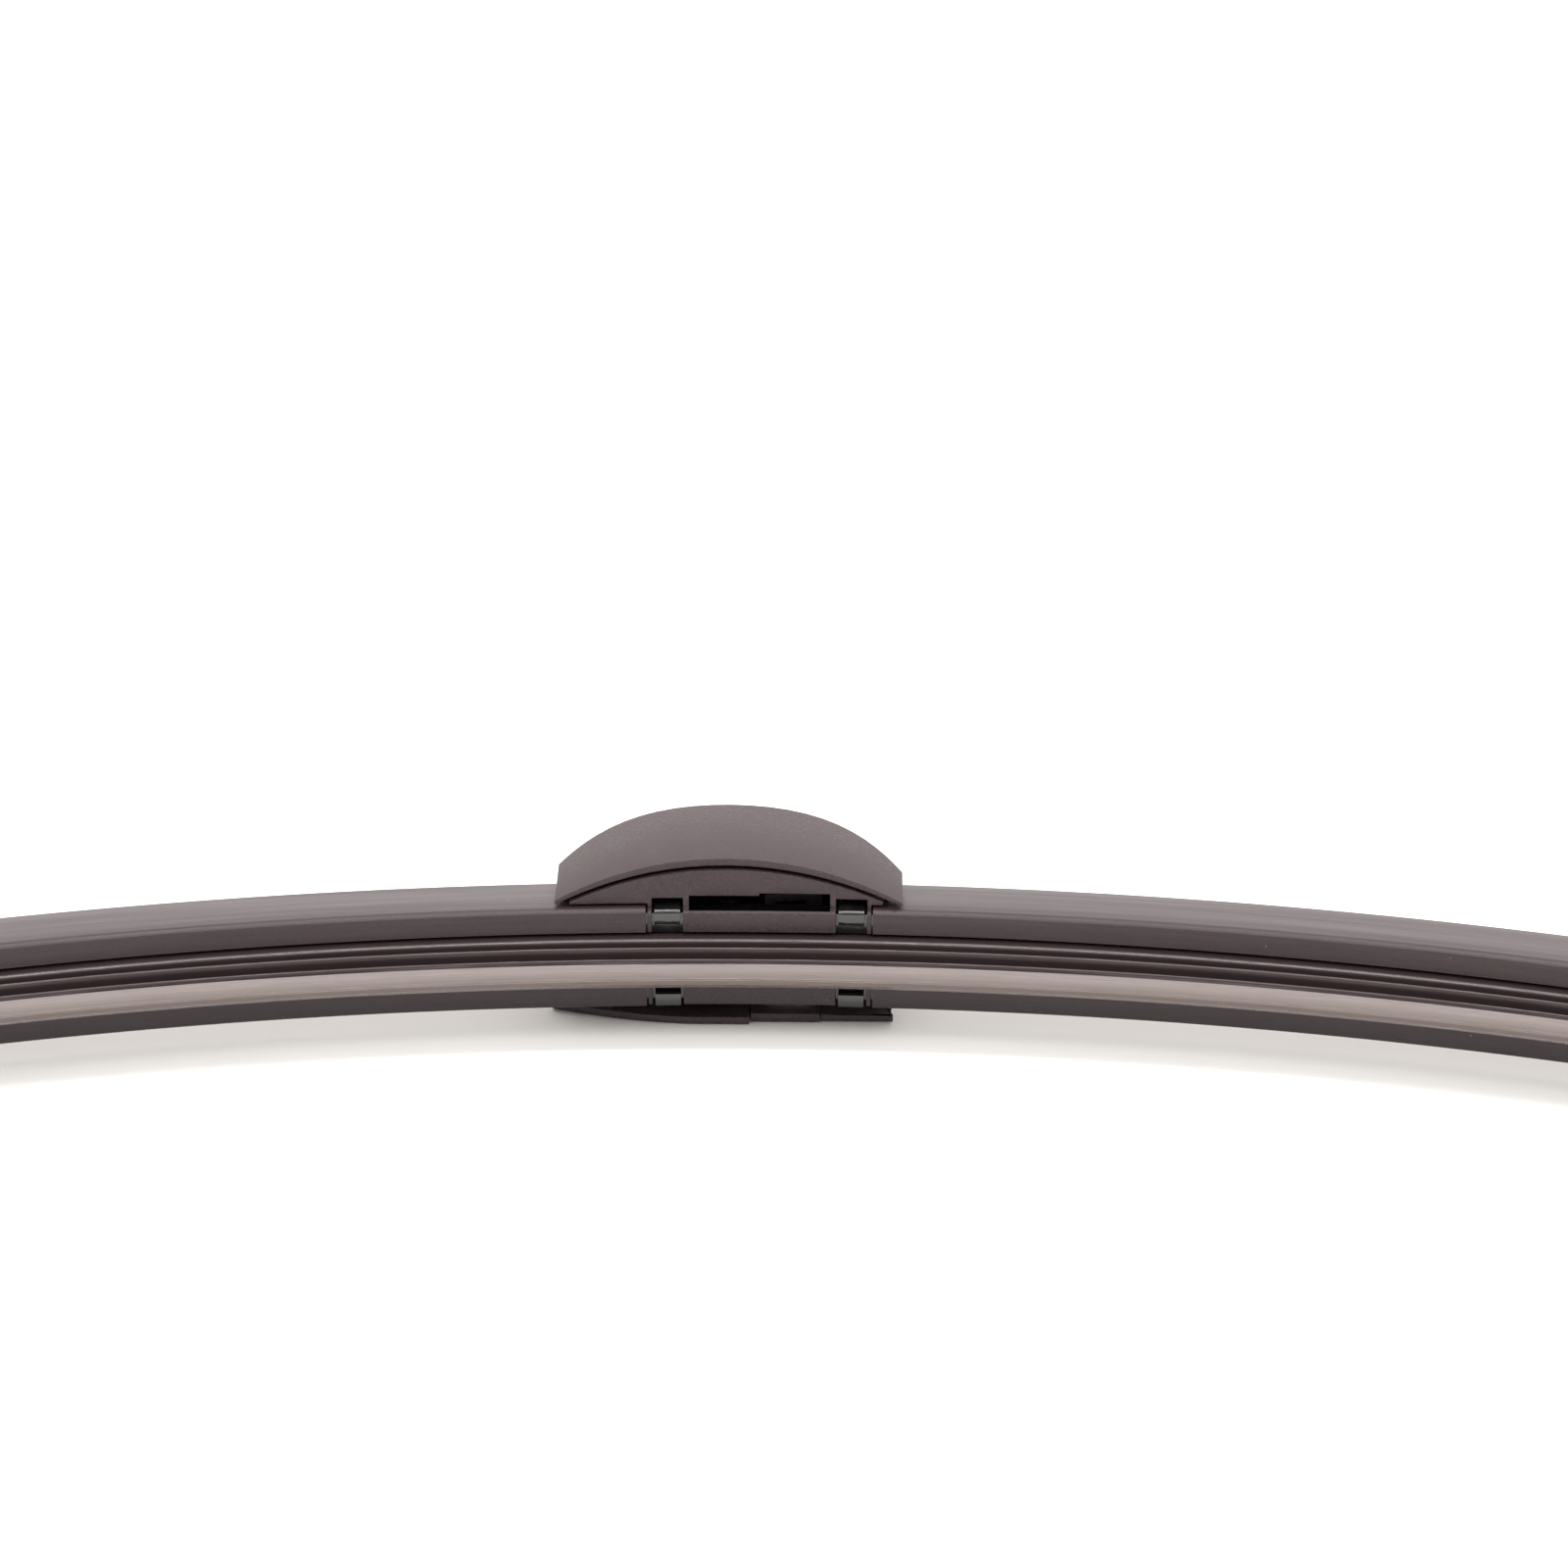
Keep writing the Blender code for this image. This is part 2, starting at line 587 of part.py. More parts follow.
def make_insert(look, parent):
    """The insert in wall B with the round hole for the arm's pin."""
    plate = block("pin_insert", (INSERT_LEFT + GAP, INSERT_RIGHT - GAP), (0.9, 12.8 - GAP),
                  (WALL_B, WALL_B + 1.6))
    hole = rod("hole", ARM_PIN_X, ARM_PIN_HEIGHT, ARM_PIN_RADIUS, (-14.0, -10.0), 32)
    return finish(cut(plate, hole), look, parent)


def make_core(look, parent):
    """The block under the cover: it turns on the rivet, and takes the arm's pin."""
    slope = math.tan(math.radians(ROCK_DEGREES + 1.0))
    lowest = 4.85

    def underside(x):
        return lowest + abs(x - MIDDLE) * slope

    hub_outline = [(-11.5, underside(-11.5)), (MIDDLE, lowest), (1.5, underside(1.5)),
                   (1.5, 11.5), (-11.5, 11.5)]
    core = prism("adapter_core", hub_outline, -CHEEK_INNER + GAP, CHEEK_INNER - GAP, "lateral")
    seat_outline = [(0.8, underside(0.8) + 0.1), (10.4, underside(10.4) + 0.1), (10.4, 12.2),
                    (0.8, 12.2)]
    join(core, prism("pin_seat", seat_outline, -8.2, 9.0, "lateral"))
    return finish(cut(
        core,
        rod("bore", MIDDLE, PIVOT_HEIGHT, CORE_BORE, (-5.0, 5.0)),
        rod("arm_pin_way", ARM_PIN_X, ARM_PIN_HEIGHT, ARM_PIN_RADIUS + 0.1, (-10.0, 7.5), 32),
        block("catch_way", (7.0, 12.0), (2.0, 10.1), (-1.4, 1.4)),
    ), look, parent)


def make_bush(name, side, look, parent):
    """A nylon bush in the core's bore, running on the rivet."""
    span = sorted((side * 0.2, side * (CHEEK_INNER - GAP - 0.1)))
    tube = rod(name, MIDDLE, PIVOT_HEIGHT, BUSH_OUTER, span)
    bore = rod("bore", MIDDLE, PIVOT_HEIGHT, BUSH_INNER, (span[0] - 1.0, span[1] + 1.0))
    return finish(cut(tube, bore), look, parent)


def make_catch(look, parent):
    """The sliding catch: a nose for the groove of the arm's pin, and an apron under its slot."""
    body = block("pin_catch", (10.75, CATCH_BACK), (8.2, 10.4), (-2.2, 2.2))
    nose = block("nose", (7.8, 11.0), (8.25, 9.7), (-1.1, 1.1))
    tab = block("tab", (TAB_LEFT, TAB_RIGHT), (10.0, TAB_TOP), (-TAB_HALF, TAB_HALF))
    apron = block("apron", (TAB_LEFT - 0.3, 16.2), (APRON_LOW, APRON_HIGH), (-2.6, 5.1))
    ridges = [prism("ridge", arc((TAB_LEFT + 0.45 + 0.65 * i, TAB_TOP), 0.25, 0.0, 180.0, 4),
                    -TAB_HALF, TAB_HALF, "lateral") for i in range(3)]
    return finish(join(body, nose, tab, apron, *ridges), look, parent)


def make_catch_spring(look, parent):
    """The coil spring behind the catch, as the tube that its turns fill."""
    radius, bore, middle = 1.1, 0.6, 9.15
    outline = arc((0.0, middle), radius, 0.0, 345.0, 23)
    hollow = arc((0.0, middle), bore, 0.0, 345.0, 23)
    tube = prism("catch_spring", outline, CATCH_BACK + GAP, SPRING_SEAT - GAP, "x")
    return finish(cut(tube, prism("bore", hollow, 12.0, 20.0, "x")), look, parent)


def pivot_empty(name, parent=None):
    """An empty on the rocking axis, which is the model's own origin."""
    made = bpy.data.objects.new(name, None)
    bpy.context.scene.collection.objects.link(made)
    made.parent = parent
    return made


def build():
    """Make every piece."""
    clear_scene()
    plastic = material("matte_black_plastic", PLASTIC, 0.62, 0.0)
    soft_plastic = material("spoiler_plastic", PLASTIC, 0.5, 0.0)
    rubber = material("wiper_rubber", RUBBER, 0.38, 0.0)
    painted = material("painted_steel", STEEL_BLACK, 0.12, 0.0)
    bare = material("bare_steel", STEEL_BARE, 0.3, 1.0)
    nylon = material("nylon", (0.62, 0.60, 0.55), 0.45, 0.0)

    make_rubber(rubber)
    for letter, side in (("a", 1), ("b", -1)):
        make_rail("spring_rail_" + letter, side, painted)
    for word, side in (("left", -1), ("right", 1)):
        make_spoiler("spoiler_" + word, side, soft_plastic)
        make_end_cap("end_cap_" + word, side, plastic)
        make_end_clip("end_clip_" + word, side, bare)
    make_base(plastic)
    make_bracket(painted)
    make_pivot_pin(bare)
    make_pivot_washer(bare)

    rocking = pivot_empty("adapter_pivot")
    make_cover(plastic, rocking)
    make_insert(plastic, rocking)
    make_core(plastic, rocking)
    make_bush("pivot_bush_a", 1, nylon, rocking)
    make_bush("pivot_bush_b", -1, nylon, rocking)
    make_catch_spring(bare, rocking)
    make_catch(plastic, pivot_empty("catch_slide", rocking))


build()
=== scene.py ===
"""The looks of the flat windscreen wiper blade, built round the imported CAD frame.

Long pieces are drawn straight, in millimetres, then swung round the arc of the spring rails:
  x        along the blade, 0 midway between the four claws
  height   away from the glass, 0 at the level of the claws, negative towards the rubber's lip
  lateral  across the blade, positive on side A, which faces up
"""
import json
import math

import bmesh
import bpy
from mathutils import Matrix, Vector

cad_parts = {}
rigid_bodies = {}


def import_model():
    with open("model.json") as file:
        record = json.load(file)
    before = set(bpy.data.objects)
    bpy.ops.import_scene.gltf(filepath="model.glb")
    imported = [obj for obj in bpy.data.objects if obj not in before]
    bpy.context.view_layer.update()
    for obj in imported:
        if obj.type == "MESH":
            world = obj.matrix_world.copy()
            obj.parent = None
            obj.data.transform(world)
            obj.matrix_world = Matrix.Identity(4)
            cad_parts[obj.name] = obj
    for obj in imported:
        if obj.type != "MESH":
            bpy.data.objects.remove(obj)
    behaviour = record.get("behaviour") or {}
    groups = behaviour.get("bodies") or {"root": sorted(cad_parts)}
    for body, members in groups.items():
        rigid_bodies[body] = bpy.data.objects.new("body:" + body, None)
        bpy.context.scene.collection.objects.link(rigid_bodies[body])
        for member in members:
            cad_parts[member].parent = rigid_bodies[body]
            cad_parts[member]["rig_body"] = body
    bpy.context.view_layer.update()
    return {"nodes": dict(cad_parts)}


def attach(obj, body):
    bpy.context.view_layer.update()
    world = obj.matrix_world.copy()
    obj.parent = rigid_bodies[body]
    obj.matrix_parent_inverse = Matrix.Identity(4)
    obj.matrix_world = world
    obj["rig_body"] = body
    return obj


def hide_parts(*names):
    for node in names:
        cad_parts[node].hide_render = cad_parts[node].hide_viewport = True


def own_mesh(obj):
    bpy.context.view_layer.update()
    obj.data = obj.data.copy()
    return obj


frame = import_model()

MM = 0.001
ORIGIN = Vector((5.5, -7.8, 13.0))       # the drawing's zero point, in the row frame
ARC_RADIUS = 570.0
BLADE_LENGTH = 500.0
STEP = 2.5                               # spacing of a swept piece's sections
SHARP = math.radians(32)
WELD = 0.002                             # points closer than this are one point

# sections, as (lateral, height)
SLOT_OUTER, SLOT_LOW, SLOT_HIGH = 8.55, 0.6, 2.1
HEAD_SLOT_HALF, HEAD_SLOT_HIGH = 3.5, 2.8
GRIP_INNER = 5.2
CREST_LATERAL, CREST_HEIGHT = 7.75, 11.5
RAMP_POWER = 1.8
SPOILER_HALF, SPOILER_EDGE, SPOILER_BOTTOM = 9.5, 3.0, -0.3
SPOILER_START = 18.9
SPOILER_STOP = BLADE_LENGTH / 2 - 12.0
LEFT_SHOULDER, RIGHT_SHOULDER = 34.1, 22.7    # where the spoilers rise beside the connector
CLEARED_HEIGHT = 3.7                     # what is left of them under it
RUBBER_REACH = BLADE_LENGTH / 2 - 2.3

# catch spring
COIL_RADIUS, WIRE_RADIUS = 0.82, 0.17
COIL_START, COIL_STOP, COIL_TURNS = 14.3, 18.0, 7
COIL_HEIGHT = 9.15

# studio
FLOOR_DROP = -0.0002
FLOOR_HALF = 6.0
WORLD_FRONT, WORLD_BACK = 0.42, 2.45     # world strength in front of the blade and behind it

# camera
CAMERA_AZIMUTH, CAMERA_PITCH = 0.9, 29.0
CAMERA_LENS, CAMERA_SENSOR = 112.5, 36.0
ORIGIN_SEEN = (-0.0041, -0.0291, -0.818)  # the drawing's zero point, from the camera, in metres

# tints, linear
PLASTIC = (0.029, 0.0165, 0.0195)
RUBBER = (0.034, 0.022, 0.023)
COATING = (0.185, 0.152, 0.146)
LIP = (0.085, 0.060, 0.050)
PAINT = (0.006, 0.005, 0.006)
STEEL = (0.50, 0.49, 0.48)
NYLON = (0.62, 0.59, 0.52)
DUST = (0.30, 0.27, 0.26)
PLASTIC_SHEEN = (0.044, 0.030, 0.032)
WORN_PAINT = (0.018, 0.014, 0.015)
STAINED_STEEL = (0.34, 0.31, 0.29)
NYLON_DARK = (0.50, 0.46, 0.38)
FLOOR_DARK, FLOOR_LIGHT = (0.80, 0.79, 0.76), (0.84, 0.83, 0.80)
WORLD_TINT = (1.0, 0.965, 0.945, 1.0)


# ---------------------------------------------------------------- shader nodes

class Shader:
    """A material's node tree, with short ways to add nodes to it."""

    def __init__(self, name):
        self.material = bpy.data.materials.new(name)
        self.material.use_nodes = True
        self.tree = self.material.node_tree
        self.surface = self.tree.nodes["Principled BSDF"]
        self.place = self.add("ShaderNodeTexCoord").outputs["Object"]

    def add(self, kind, **settings):
        """A new node with some of its settings changed."""
        made = self.tree.nodes.new(kind)
        for key, value in settings.items():
            setattr(made, key, value)
        return made

    def feed(self, socket, value):
        """Link a socket, or set it to a constant."""
        if isinstance(value, bpy.types.NodeSocket):
            self.tree.links.new(value, socket)
        else:
            socket.default_value = value

    def set(self, **values):
        """Set or link sockets of the surface, named with _ for spaces."""
        for key, value in values.items():
            self.feed(self.surface.inputs[key.replace("_", " ")], value)

    def math(self, operation, *values):
        """A Math node's result."""
        made = self.add("ShaderNodeMath", operation=operation)
        for socket, value in zip(made.inputs, values):
            self.feed(socket, value)
        return made.outputs[0]

    def fit(self, value, low, high, new_low, new_high):
        """A value moved from one range to another, and held there."""
        made = self.add("ShaderNodeMapRange")
        for socket, entry in zip(made.inputs, (value, low, high, new_low, new_high)):
            self.feed(socket, entry)
        return made.outputs[0]

    def mix(self, share, first, second):
        """A blend of two colours."""
        made = self.add("ShaderNodeMix", data_type="RGBA")
        self.feed(made.inputs["Factor"], share)
        for key, value in (("A", first), ("B", second)):
            socket = [entry for entry in made.inputs if entry.name == key and entry.type == "RGBA"][0]
            self.feed(socket, value if isinstance(value, bpy.types.NodeSocket) else (*value, 1.0))
        return [entry for entry in made.outputs if entry.type == "RGBA"][0]

    def noise(self, place, size, detail=2.0, roughness=0.5):
        """Noise whose features are about that many millimetres across."""
        made = self.add("ShaderNodeTexNoise")
        self.feed(made.inputs["Vector"], place)
        self.feed(made.inputs["Scale"], 1.0 / (size * MM))
        self.feed(made.inputs["Detail"], detail)
        self.feed(made.inputs["Roughness"], roughness)
        return made.outputs["Fac"]

    def bump(self, height, depth, below=None):
        """A normal from a height of 0 to 1 that stands for that many millimetres."""
        made = self.add("ShaderNodeBump")
        self.feed(made.inputs["Height"], height)
        self.feed(made.inputs["Distance"], depth * MM)
        if below is not None:
            self.feed(made.inputs["Normal"], below)
        return made.outputs["Normal"]

    def radius(self):
        """Distance in metres from the rails' arc, so stripes made with it follow the blade."""
        centre = (ORIGIN.x * MM, (ORIGIN.y - ARC_RADIUS) * MM, 0.0)
        moved = self.add("ShaderNodeVectorMath", operation="SUBTRACT")
        self.feed(moved.inputs[0], self.place)
        moved.inputs[1].default_value = centre
        flat = self.add("ShaderNodeVectorMath", operation="MULTIPLY")
        self.feed(flat.inputs[0], moved.outputs[0])
        flat.inputs[1].default_value = (1.0, 1.0, 0.0)
        length = self.add("ShaderNodeVectorMath", operation="LENGTH")
        self.feed(length.inputs[0], flat.outputs[0])
        return self.math("SUBTRACT", length.outputs["Value"], ARC_RADIUS * MM)

    def along(self, stretch):
        """Coordinates that change slowly along the blade and fast across it."""
        parts = self.add("ShaderNodeSeparateXYZ")
        self.feed(parts.inputs[0], self.place)
        made = self.add("ShaderNodeCombineXYZ")
        self.feed(made.inputs["X"], self.math("DIVIDE", parts.outputs["X"], stretch))
        self.feed(made.inputs["Y"], self.radius())
        self.feed(made.inputs["Z"], parts.outputs["Z"])
        return made.outputs[0]


def scaled(tint, factor):
    """A tint made darker or lighter."""
    return tuple(factor * value for value in tint)


def dust(shader, colour):
    """A few pale specks of dust over a colour."""
    cells = shader.add("ShaderNodeTexVoronoi", feature="F1")
    shader.feed(cells.inputs["Vector"], shader.place)
    shader.feed(cells.inputs["Scale"], 300.0)
    speck = shader.fit(cells.outputs["Distance"], 0.045, 0.03, 0.0, 0.45)
    where = shader.fit(shader.noise(shader.place, 9.0), 0.52, 0.6, 0.0, 1.0)
    return shader.mix(shader.math("MULTIPLY", speck, where), colour, DUST)


def plastic_material():
    """Injection-moulded plastic with a fine spark-eroded grain."""
    shader = Shader("moulded_black_plastic")
    grain = shader.noise(shader.place, 0.55, 3.0, 0.65)
    mottle = shader.noise(shader.place, 6.0, 3.0)
    tone = shader.fit(grain, 0.35, 0.65, 0.0, 1.0)
    colour = shader.mix(tone, scaled(PLASTIC, 0.55), scaled(PLASTIC, 1.60))
    colour = shader.mix(shader.fit(mottle, 0.4, 0.7, 0.0, 0.3), colour, PLASTIC_SHEEN)
    shader.set(
        Base_Color=dust(shader, colour),
        Roughness=shader.fit(grain, 0.35, 0.65, 0.46, 0.66),
        Specular_IOR_Level=0.50,
        Normal=shader.bump(grain, 0.06, shader.bump(mottle, 0.05)),
    )
    return shader.material


def spoiler_material():
    """Extruded plastic: fine draw lines along the blade under a slight grain."""
    shader = Shader("extruded_spoiler_plastic")
    lines = shader.noise(shader.along(60.0), 0.30, 3.0, 0.6)
    broad = shader.noise(shader.along(40.0), 1.6, 2.0)
    grain = shader.noise(shader.place, 0.30, 2.0)
    tone = shader.math("MULTIPLY_ADD", lines, 0.6, shader.math("MULTIPLY", grain, 0.4))
    share = shader.fit(tone, 0.35, 0.65, 0.0, 1.0)
    colour = shader.mix(share, scaled(PLASTIC, 0.75), scaled(PLASTIC, 1.22))
    shader.set(
        Base_Color=dust(shader, colour),
        Roughness=shader.fit(broad, 0.3, 0.7, 0.36, 0.48),
        Specular_IOR_Level=0.45,
        Normal=shader.bump(lines, 0.02, shader.bump(grain, 0.02)),
    )
    return shader.material


def rubber_material():
    """Natural rubber with a grey friction coating on its flanks that fades out at the lip."""
    shader = Shader("coated_wiper_rubber")
    lines = shader.noise(shader.along(80.0), 0.16, 3.0, 0.6)
    smear = shader.noise(shader.along(25.0), 0.7, 3.0, 0.6)
    grain = shader.noise(shader.place, 0.25, 2.0)
    height = shader.math("MULTIPLY_ADD", smear, 0.5 * MM, shader.radius())
    flank = shader.fit(height, -4.9 * MM, -5.2 * MM, 0.0, 1.0)
    lip = shader.fit(height, -6.1 * MM, -7.0 * MM, 0.0, 1.0)
    streaks = shader.fit(lines, 0.3, 0.7, 0.72, 1.0)
    colour = shader.mix(shader.math("MULTIPLY", flank, streaks), RUBBER, COATING)
    colour = shader.mix(shader.math("MULTIPLY", lip, 0.75), colour, LIP)
    worn = shader.fit(smear, 0.60, 0.72, 0.0, 0.5)
    colour = shader.mix(shader.math("MULTIPLY", lip, worn), colour, RUBBER)
    shader.set(
        Base_Color=colour,
        Roughness=shader.fit(smear, 0.3, 0.7, 0.18, 0.28),
        Specular_IOR_Level=0.5,
        Normal=shader.bump(lines, 0.02, shader.bump(grain, 0.01)),
    )
    return shader.material


def paint_material():
    """Glossy black paint on the bracket and the rails, with a slight orange peel."""
    shader = Shader("black_painted_steel")
    peel = shader.noise(shader.place, 0.8, 1.0)
    scuff = shader.noise(shader.place, 3.0, 4.0, 0.7)
    shader.set(
        Base_Color=shader.mix(shader.fit(scuff, 0.5, 0.75, 0.0, 0.6), PAINT, WORN_PAINT),
        Roughness=shader.fit(scuff, 0.3, 0.7, 0.10, 0.24),
        Specular_IOR_Level=0.6,
        Coat_Weight=0.6,
        Coat_Roughness=0.06,
        Normal=shader.bump(peel, 0.03),
    )
    return shader.material


def steel_material():
    """Bare steel of the rivet, clips and spring, with fine drawn lines."""
    shader = Shader("bare_spring_steel")
    lines = shader.noise(shader.along(50.0), 0.18, 3.0, 0.6)
    stain = shader.noise(shader.place, 5.0, 3.0)
    shader.set(
        Base_Color=shader.mix(shader.fit(stain, 0.45, 0.7, 0.0, 0.6), STEEL, STAINED_STEEL),
        Metallic=1.0,
        Roughness=shader.fit(lines, 0.3, 0.7, 0.22, 0.42),
        Normal=shader.bump(lines, 0.01),
    )
    return shader.material


def nylon_material():
    """Natural nylon, faintly mottled."""
    shader = Shader("natural_nylon")
    mottle = shader.noise(shader.place, 1.2, 3.0)
    shader.set(
        Base_Color=shader.mix(mottle, NYLON, NYLON_DARK),
        Roughness=shader.fit(mottle, 0.3, 0.7, 0.38, 0.52),
        Normal=shader.bump(mottle, 0.02),
    )
    return shader.material


# ---------------------------------------------------------------- mesh

def arc(centre, radius, start, stop, steps):
    """Points on a circle, angles in degrees."""
    turns = [math.radians(start + (stop - start) * i / steps) for i in range(steps + 1)]
    return [(centre[0] + radius * math.cos(a), centre[1] + radius * math.sin(a)) for a in turns]


def rounded(outline, radius, steps=3):
    """A closed outline with its corners rounded off."""
    points = []
    for i, corner in enumerate(outline):
        here = Vector(corner)
        before, after = Vector(outline[i - 1]) - here, Vector(outline[(i + 1) % len(outline)]) - here
        reach = min(radius, 0.45 * before.length, 0.45 * after.length)
        start, stop = here + before.normalized() * reach, here + after.normalized() * reach
        for j in range(steps + 1):
            t = j / steps
            points.append(tuple(start * (1 - t) ** 2 + here * 2 * t * (1 - t) + stop * t ** 2))
    return points


def placed(x, lateral, height, bent=True):
    """A drawing point in the row frame, in metres."""
    if bent:
        turn = x / ARC_RADIUS
        x = (ARC_RADIUS + height) * math.sin(turn)
        height = (ARC_RADIUS + height) * math.cos(turn) - ARC_RADIUS
    return (Vector((x, height, lateral)) + ORIGIN) * MM


def to_piece(bm, name, look, body, slot, *nodes):
    """Turn a bmesh into a shown piece that rides on a body and stands for CAD nodes."""
    bmesh.ops.recalc_face_normals(bm, faces=bm.faces)
    mesh = bpy.data.meshes.new(name)
    bm.to_mesh(mesh)
    bm.free()
    made = bpy.data.objects.new(name, mesh)
    bpy.context.scene.collection.objects.link(made)
    mesh.materials.append(look)
    mesh.shade_smooth()
    mesh.set_sharp_from_angle(angle=SHARP)
    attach(made, body)
    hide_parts(*nodes)
    return made


def skinned(loops, bent=True):
    """A bmesh skinned over closed loops of (x, lateral, height) points, capped at both ends."""
    bm = bmesh.new()
    loops = [[bm.verts.new(placed(*point, bent)) for point in loop] for loop in loops]
    for first, second in zip(loops, loops[1:]):
        for i in range(len(first)):
            bm.faces.new((first[i - 1], first[i], second[i], second[i - 1]))
    caps = [bm.faces.new(loops[0]), bm.faces.new(loops[-1])]
    bmesh.ops.triangulate(bm, faces=caps)
    return bm


def spaced(start, stop, step=STEP):
    """Even stations between two ends."""
    count = max(round(abs(stop - start) / step), 1)
    return [start + (stop - start) * i / count for i in range(count + 1)]


def soften(bm, width, segments=2):
    """Round off every sharp edge of a mesh."""
    edges = [e for e in bm.edges if e.is_manifold and e.calc_face_angle() > SHARP]
    bmesh.ops.bevel(bm, geom=edges, offset=width * MM, offset_type="OFFSET", segments=segments,
                    profile=0.5, affect="EDGES", clamp_overlap=False)


def refined(node, width, look, slot):
    """A CAD node's shape with its edges rounded off."""
    body = frame["nodes"][node]["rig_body"]
    mesh = frame["nodes"][node].data.copy()
    for key in ("custom_normal", "sharp_edge", "sharp_face"):
        if key in mesh.attributes:
            mesh.attributes.remove(mesh.attributes[key])
    mesh.materials.clear()
    bm = bmesh.new()
    bm.from_mesh(mesh)
    bmesh.ops.remove_doubles(bm, verts=bm.verts, dist=WELD * MM)
    soften(bm, width)
    return to_piece(bm, node + "_finished", look, body, slot, node)


# ---------------------------------------------------------------- blade

def make_rubber(look):
    """The wiping element, with every rib's edge rounded."""
    half = [(3.1, 2.5), (3.1, 2.1), (1.7, 2.1), (1.7, 0.6), (4.5, 0.6), (4.5, -1.1), (4.2, -1.7),
            (2.5, -1.75), (2.3, -2.3), (3.4, -2.5), (3.85, -2.85), (3.5, -3.2), (1.1, -3.3),
            (0.75, -3.6), (0.75, -4.1), (1.1, -4.4), (2.5, -4.55), (2.8, -4.85), (2.5, -5.15),
            (1.9, -5.25), (2.3, -5.65), (0.5, -7.5), (0.4, -8.0)]
    outline = rounded(half + [(-lateral, height) for lateral, height in half[::-1]], 0.18)
    stations = spaced(-RUBBER_REACH, RUBBER_REACH)
    bm = skinned([[(x, *point) for point in outline] for x in stations])
    to_piece(bm, "wiping_element", look, "blade", "rubber", "wiper_rubber")


def spoiler_skin(half, bottom, edge, crest, steps=24):
    """The outer side of a spoiler section, from its lip on side A over the crest to side B."""
    top, low = CREST_LATERAL - 0.55, -half + 0.6
    points = arc((half - 1.5, bottom + 1.25), 1.5, -52.0, 0.0, 8)
    crown = arc((CREST_LATERAL, crest - 0.45), 0.45, 10.0, 150.0, 8)
    foot, start = Vector(points[-1]), Vector(crown[0])
    points.append(tuple(foot.lerp(start, (CLEARED_HEIGHT - foot.y) / (start.y - foot.y))))
    points += crown
    for i in range(1, steps + 1):
        lateral = top + (low - top) * i / steps
        share = max((lateral + half - 0.3) / (top + half - 0.3), 0.0)
        points.append((lateral, edge + (crest - 0.3 - edge) * share ** RAMP_POWER))
    points += arc((-half + 0.35, edge - 0.35), 0.35, 110.0, 180.0, 4)
    points += arc((-half + 0.8, bottom + 0.8), 0.8, 180.0, 270.0, 6)
    return points


def rail_channel():
    """The inner side of a section that grips both rails from outside, side B to side A."""
    right = [(GRIP_INNER, SPOILER_BOTTOM), (GRIP_INNER, SLOT_LOW), (SLOT_OUTER, SLOT_LOW),
             (SLOT_OUTER, SLOT_HIGH), (HEAD_SLOT_HALF, SLOT_HIGH), (HEAD_SLOT_HALF, HEAD_SLOT_HIGH)]
    left = [(-lateral, height) for lateral, height in right]
    return left + right[::-1]


def make_spoiler(word, side, shoulder, look):
    """One half of the spoiler, cleared away to its grip under the connector."""
    outline = spoiler_skin(SPOILER_HALF, SPOILER_BOTTOM, SPOILER_EDGE, CREST_HEIGHT)
    outline += rail_channel()

    def cleared(point, x, height):
        return (side * x, point[0], min(point[1], height))

    def upright(point, inset, lower):
        """A point of the shoulder's end face, which stands square to x once bent."""
        reach = ARC_RADIUS * math.asin((shoulder + inset) / (ARC_RADIUS + point[1]))
        return (side * reach, point[0], max(point[1] - lower, min(point[1], CLEARED_HEIGHT)))

    loops = [[cleared(point, x, CLEARED_HEIGHT) for point in outline]
             for x in spaced(SPOILER_START, shoulder - 0.7)]
    loops += [[upright(point, inset, lower) for point in outline]
              for inset, lower in ((0.0, 20.0), (0.0, 0.2), (0.06, 0.06), (0.2, 0.0))]
    loops += [[cleared(point, x, CREST_HEIGHT) for point in outline]
              for x in spaced(shoulder + 1.0, SPOILER_STOP)]
    bm = skinned(loops)
    to_piece(bm, "spoiler_" + word + "_half", look, "blade", "spoiler_plastic", "spoiler_" + word)


def wound_spring(look):
    """The catch spring as a real coil, with its end turns closed."""
    per_turn, sides, closing = 20, 8, 0.035
    count = COIL_TURNS * per_turn
    bm = bmesh.new()
    rings = []
    for i in range(count + 1):
        t = i / count
        turn = 2 * math.pi * COIL_TURNS * t
        share = t + closing * math.sin(2 * math.pi * t)
        centre = Vector((COIL_START + (COIL_STOP - COIL_START) * share, COIL_HEIGHT, 0.0))
        out = Vector((0.0, math.cos(turn), math.sin(turn)))
        ring = []
        for j in range(sides):
            angle = 2 * math.pi * j / sides
            point = centre + out * (COIL_RADIUS + WIRE_RADIUS * math.cos(angle))
            point.x += WIRE_RADIUS * math.sin(angle)
            ring.append(bm.verts.new((point + ORIGIN) * MM))
        rings.append(ring)
    for first, second in zip(rings, rings[1:]):
        for j in range(sides):
            bm.faces.new((first[j - 1], first[j], second[j], second[j - 1]))
    bm.faces.new(rings[0])
    bm.faces.new(rings[-1])
    spring = to_piece(bm, "catch_coil_spring", look, "connector", "bare_steel", "catch_spring")
    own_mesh(spring)


# ---------------------------------------------------------------- studio

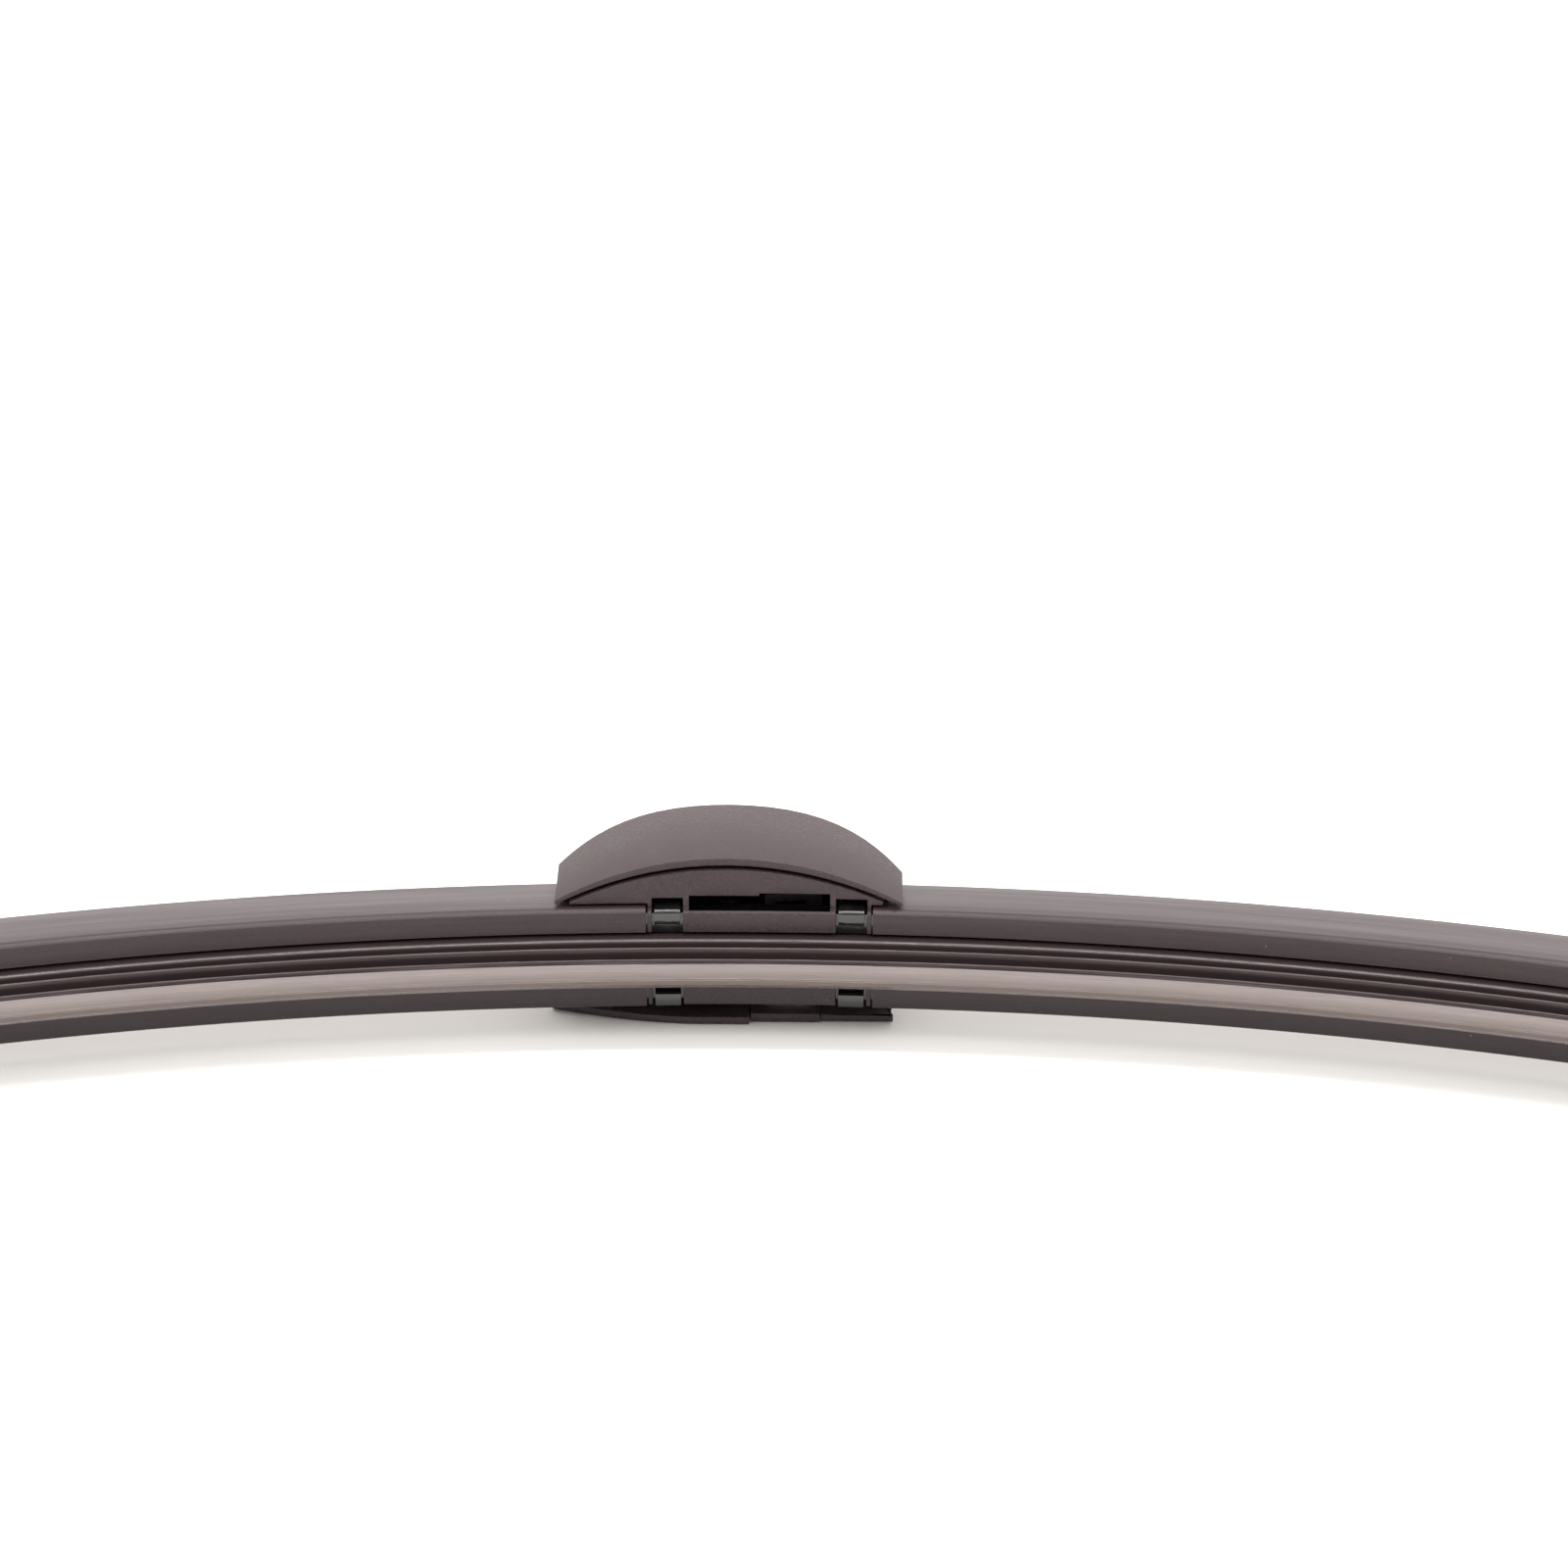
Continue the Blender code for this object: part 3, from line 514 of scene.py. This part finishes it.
def area_light(name, place, size, radiance):
    """A softbox aimed at the blade's middle, that gives that radiance."""
    data = bpy.data.lights.new(name, "AREA")
    data.shape = "RECTANGLE"
    data.size, data.size_y = size
    data.energy = radiance * math.pi * size[0] * size[1]
    lamp = bpy.data.objects.new(name, data)
    bpy.context.scene.collection.objects.link(lamp)
    lamp.location = place
    lamp.rotation_euler = (-Vector(place)).to_track_quat("-Z", "Y").to_euler()
    lamp.visible_camera = False


def make_floor():
    """A pale floor under the blade."""
    shader = Shader("pale_floor")
    shade = shader.noise(shader.place, 400.0)
    shader.set(
        Base_Color=shader.mix(shade, FLOOR_DARK, FLOOR_LIGHT),
        Roughness=0.8,
        Specular_IOR_Level=0.1,
    )
    bm = bmesh.new()
    signs = ((-1, -1), (1, -1), (1, 1), (-1, 1))
    bm.faces.new([bm.verts.new((x * FLOOR_HALF, y * FLOOR_HALF, FLOOR_DROP)) for x, y in signs])
    mesh = bpy.data.meshes.new("floor")
    bm.to_mesh(mesh)
    bm.free()
    floor = bpy.data.objects.new("floor", mesh)
    bpy.context.scene.collection.objects.link(floor)
    mesh.materials.append(shader.material)


def make_studio():
    """World light, softboxes and floor."""
    scene = bpy.context.scene
    world = bpy.data.worlds.new("studio")
    scene.world = world
    world.use_nodes = True
    nodes, links = world.node_tree.nodes, world.node_tree.links
    background = nodes["Background"]
    background.inputs["Color"].default_value = WORLD_TINT
    parts = nodes.new("ShaderNodeSeparateXYZ")
    links.new(nodes.new("ShaderNodeTexCoord").outputs["Generated"], parts.inputs[0])
    fade = nodes.new("ShaderNodeMapRange")
    for socket, value in zip(fade.inputs[1:], (-1.0, 1.0, WORLD_FRONT, WORLD_BACK)):
        socket.default_value = value
    links.new(parts.outputs["Y"], fade.inputs[0])
    links.new(fade.outputs[0], background.inputs["Strength"])
    scene.view_settings.view_transform = "Standard"
    area_light("overhead", (0.0, -0.05, 1.5), (1.2, 0.16), 16.0)
    area_light("front_top", (0.0, -0.68, 1.25), (1.0, 0.4), 3.6)
    for side in (-1, 1):
        area_light("front_side", (side * 0.85, -0.68, 1.2), (0.8, 0.5), 5.5)
    make_floor()


def make_camera():
    """A camera at the photograph's viewing angle."""
    azimuth, pitch = math.radians(CAMERA_AZIMUTH), math.radians(CAMERA_PITCH)
    back = Vector((math.sin(azimuth) * math.cos(pitch), -math.cos(azimuth) * math.cos(pitch),
                   math.sin(pitch)))
    turn = (-back).to_track_quat("-Z", "Y")
    data = bpy.data.cameras.new("camera")
    data.sensor_width = CAMERA_SENSOR
    data.lens = CAMERA_LENS
    data.clip_start = 0.01
    camera = bpy.data.objects.new("camera", data)
    bpy.context.scene.collection.objects.link(camera)
    camera.rotation_mode = "QUATERNION"
    camera.rotation_quaternion = turn
    camera.location = ORIGIN * MM - turn @ Vector(ORIGIN_SEEN)
    bpy.context.scene.camera = camera


# ---------------------------------------------------------------- all

def keep(node, look):
    """Show a CAD node as it is, in a detailed material."""
    source = frame["nodes"][node]
    source.data.materials.clear()
    source.data.materials.append(look)


def build():
    """Make every piece."""
    plastic, spoiler, rubber = plastic_material(), spoiler_material(), rubber_material()
    paint, steel, nylon = paint_material(), steel_material(), nylon_material()
    make_rubber(rubber)
    make_spoiler("left", -1, LEFT_SHOULDER, spoiler)
    make_spoiler("right", 1, RIGHT_SHOULDER, spoiler)
    wound_spring(steel)
    for node, width in (("adapter_cover", 0.12), ("pin_insert", 0.1), ("adapter_core", 0.15),
                        ("pin_catch", 0.15), ("connector_base", 0.12), ("end_cap_left", 0.25),
                        ("end_cap_right", 0.25)):
        refined(node, width, plastic, "black_plastic")
    refined("claw_bracket", 0.05, paint, "black_painted_steel")
    refined("pivot_pin", 0.15, steel, "bare_steel")
    refined("pivot_washer", 0.1, steel, "bare_steel")
    for letter in "ab":
        keep("spring_rail_" + letter, paint)
        refined("pivot_bush_" + letter, 0.08, nylon, "nylon")
    for word in ("left", "right"):
        refined("end_clip_" + word, 0.1, steel, "bare_steel")
    make_studio()
    make_camera()


build()
